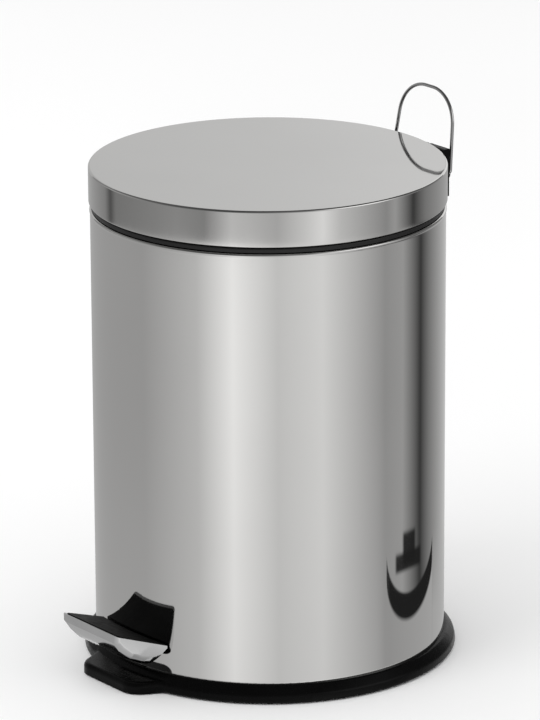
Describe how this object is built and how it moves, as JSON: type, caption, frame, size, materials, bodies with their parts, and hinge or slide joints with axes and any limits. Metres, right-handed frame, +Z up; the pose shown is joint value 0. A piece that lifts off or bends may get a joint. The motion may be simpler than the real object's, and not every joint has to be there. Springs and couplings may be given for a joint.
{
  "type": "pedal bin",
  "caption": "Round steel pedal bin with a plastic base, foot pedal, hinged lid, lift-out inner bucket and a rear wire carrying handle.",
  "frame": {"origin": "on the floor under the shell's centre line, where the anti-slip ring stands", "axes": "+Z up; the pedal points towards -Y; the lid hinge and the carrying handle are at +Y"},
  "size_m": [0.2162, 0.2506, 0.315],
  "materials": {
    "polished_steel": "mirror-polished stainless steel",
    "chromed_steel": "bright chrome plate",
    "zinc_steel": "zinc-plated steel, satin",
    "black_plastic": "black moulded plastic, satin gloss",
    "bucket_plastic": "black moulded plastic, satin",
    "black_rubber": "smooth black rubber"
  },
  "bodies": {
    "root": {"body_shell": "polished_steel", "base_ring": "black_plastic", "anti_slip_ring": "black_rubber", "bottom_plate": "zinc_steel", "floor_screws": "zinc_steel", "lever_bracket": "zinc_steel", "lever_bracket_rivets": "zinc_steel", "lever_pivot_pin": "zinc_steel", "pivot_clips": "zinc_steel", "rod_guides": "black_plastic", "rear_bracket": "black_plastic", "backing_plate": "zinc_steel", "bracket_screws": "zinc_steel", "bracket_nuts": "zinc_steel", "hinge_pin": "zinc_steel", "inner_bucket": "bucket_plastic"},
    "lid": {"lid_shell": "polished_steel", "lid_hinge_leaf": "black_plastic", "lid_bumpers": "black_rubber"},
    "pedal": {"pedal_lever": "zinc_steel", "pedal_rivets": "zinc_steel", "pedal_frame": "chromed_steel", "pedal_pad": "black_rubber"},
    "push_rod": {"push_rod": "zinc_steel", "rod_clips": "zinc_steel"},
    "bail": {"bail_handle": "chromed_steel"},
    "bucket_handle": {"bucket_handle": "zinc_steel", "bucket_handle_grip": "black_plastic"}
  },
  "joints": [
    {"name": "lid_hinge", "type": "hinge", "parent": "root", "child": "lid", "pos_m": [0, 0.1063, 0.281], "axis": [-1, 0, 0], "range_deg": [0, 80]},
    {"name": "pedal_pivot", "type": "hinge", "parent": "root", "child": "pedal", "pos_m": [0, -0.039, 0.024], "axis": [1, 0, 0], "range_deg": [0, 7.97]},
    {"name": "rod_slide", "type": "slide", "parent": "root", "child": "push_rod", "axis": [0, 0, 1], "range_m": [0, 0.01862]},
    {"name": "bail_pivot", "type": "hinge", "parent": "root", "child": "bail", "pos_m": [0, 0.1132, 0.268], "axis": [-1, 0, 0], "range_deg": [0, 168]},
    {"name": "bucket_handle_pivot", "type": "hinge", "parent": "root", "child": "bucket_handle", "pos_m": [0, 0, 0.261], "axis": [-1, 0, 0], "range_deg": [0, 16]}
  ],
  "couplings": [
    {"joint": "pedal_pivot", "follows": "lid_hinge", "ratio": 0.099674},
    {"joint": "rod_slide", "follows": "lid_hinge", "m_per_rad": 0.013338}
  ]
}
